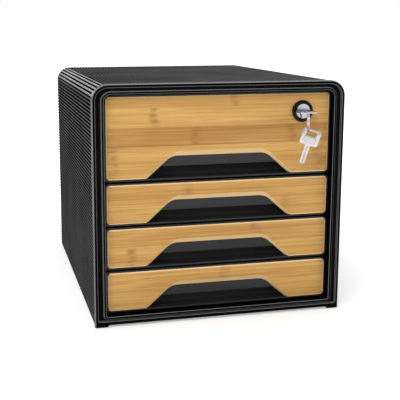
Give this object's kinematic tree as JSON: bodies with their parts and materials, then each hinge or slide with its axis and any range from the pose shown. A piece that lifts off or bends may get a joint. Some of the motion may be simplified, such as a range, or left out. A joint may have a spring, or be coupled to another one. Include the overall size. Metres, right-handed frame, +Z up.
{
  "type": "desktop file drawer",
  "caption": "Ribbed black desktop file cabinet with a tall lockable drawer over small drawers, bamboo fronts with bevelled open handle cutouts, cam lock and keys.",
  "frame": {"origin": "middle of the bounding box at its bottom face, on the desk under the rubber feet; the keys in front count in the box", "axes": "+Z up, the drawers open towards -Y, +X to the right as seen from the front"},
  "size_m": [0.288, 0.3862, 0.268],
  "materials": {
    "ribbed_plastic": "satin black polystyrene with fine moulded ribs",
    "frame_plastic": "gloss black moulded polystyrene",
    "inner_plastic": "matt black moulded polystyrene",
    "tray_plastic": "matt black moulded polystyrene",
    "front_plastic": "satin black moulded polystyrene",
    "bamboo": "caramel bamboo strips, clear matt lacquer",
    "rubber": "soft black rubber",
    "black_zinc": "gloss black painted zinc",
    "zinc_steel": "zinc plated steel",
    "chrome": "polished chrome plate",
    "nickel": "nickel plated brass, tumbled"
  },
  "bodies": {
    "casing": {"casing_shell": "ribbed_plastic", "front_frame": "frame_plastic", "back_panel": "inner_plastic", "base_panel": "inner_plastic", "left_runner": "inner_plastic", "right_runner": "inner_plastic", "lock_strike": "zinc_steel", "rubber_feet": "rubber", "base_screws": "zinc_steel", "back_screws": "zinc_steel"},
    "drawer_1": {"drawer_1_tray": "tray_plastic", "drawer_1_front": "front_plastic", "drawer_1_fascia": "bamboo", "drawer_1_screws": "zinc_steel", "lock_barrel": "black_zinc", "lock_nut": "zinc_steel"},
    "drawer_2": {"drawer_2_tray": "tray_plastic", "drawer_2_front": "front_plastic", "drawer_2_fascia": "bamboo", "drawer_2_screws": "zinc_steel"},
    "drawer_3": {"drawer_3_tray": "tray_plastic", "drawer_3_front": "front_plastic", "drawer_3_fascia": "bamboo", "drawer_3_screws": "zinc_steel"},
    "drawer_4": {"drawer_4_tray": "tray_plastic", "drawer_4_front": "front_plastic", "drawer_4_fascia": "bamboo", "drawer_4_screws": "zinc_steel"},
    "lock": {"lock_plug": "chrome", "lock_cam": "zinc_steel", "cam_screw": "zinc_steel"},
    "key": {"key_in_lock": "nickel"},
    "ring": {"key_ring": "nickel"},
    "spare": {"spare_key": "nickel"}
  },
  "joints": [
    {"name": "drawer_1_slide", "type": "slide", "parent": "casing", "child": "drawer_1", "axis": [0, -1, 0], "range_m": [0, 0.24]},
    {"name": "drawer_2_slide", "type": "slide", "parent": "casing", "child": "drawer_2", "axis": [0, -1, 0], "range_m": [0, 0.24]},
    {"name": "drawer_3_slide", "type": "slide", "parent": "casing", "child": "drawer_3", "axis": [0, -1, 0], "range_m": [0, 0.24]},
    {"name": "drawer_4_slide", "type": "slide", "parent": "casing", "child": "drawer_4", "axis": [0, -1, 0], "range_m": [0, 0.24]},
    {"name": "lock_turn", "type": "hinge", "parent": "drawer_1", "child": "lock", "pos_m": [0.0956, -0.15887, 0.2335], "axis": [0, -1, 0], "range_deg": [0, 90]},
    {"name": "key_pull", "type": "slide", "parent": "lock", "child": "key", "axis": [0, -1, 0], "range_m": [0, 0.024]},
    {"name": "ring_swing", "type": "hinge", "parent": "key", "child": "ring", "pos_m": [0.0944, -0.17897, 0.23515], "axis": [-0.342, -0.9397, 0], "range_deg": [-20, 30]},
    {"name": "spare_swing", "type": "hinge", "parent": "ring", "child": "spare", "pos_m": [0.09337, -0.18179, 0.2137], "axis": [-0.342, -0.9397, 0], "range_deg": [-30, 30]}
  ]
}
